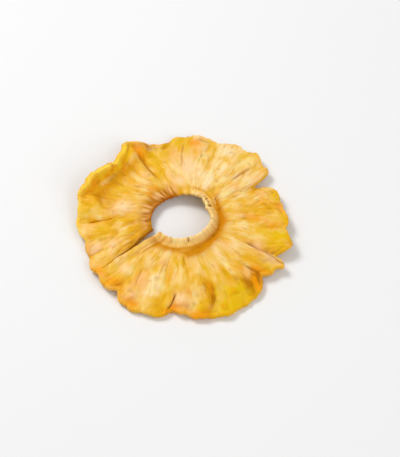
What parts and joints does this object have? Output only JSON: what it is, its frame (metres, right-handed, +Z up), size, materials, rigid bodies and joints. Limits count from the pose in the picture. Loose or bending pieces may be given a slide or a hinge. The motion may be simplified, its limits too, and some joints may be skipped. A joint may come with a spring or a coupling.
{
  "type": "dried pineapple ring",
  "caption": "Thin dried pineapple slice, wavy and scalloped at the rim, with a cored hole edged by a raised lip and a slit from the hole towards the rim.",
  "frame": {"origin": "middle of the ring's bounding box in plan, at the level of the surface it lies on", "axes": "+Z up through the ring's hole; -Y is the side where the band is widest and the hole's lip stands up; the slit runs from the hole towards -X -Y"},
  "size_m": [0.0824, 0.0824, 0.0111],
  "materials": {
    "dried_flesh": "satin, slightly waxy, fibrous"
  },
  "bodies": {
    "root": {"pineapple_ring": "dried_flesh"}
  },
  "joints": []
}
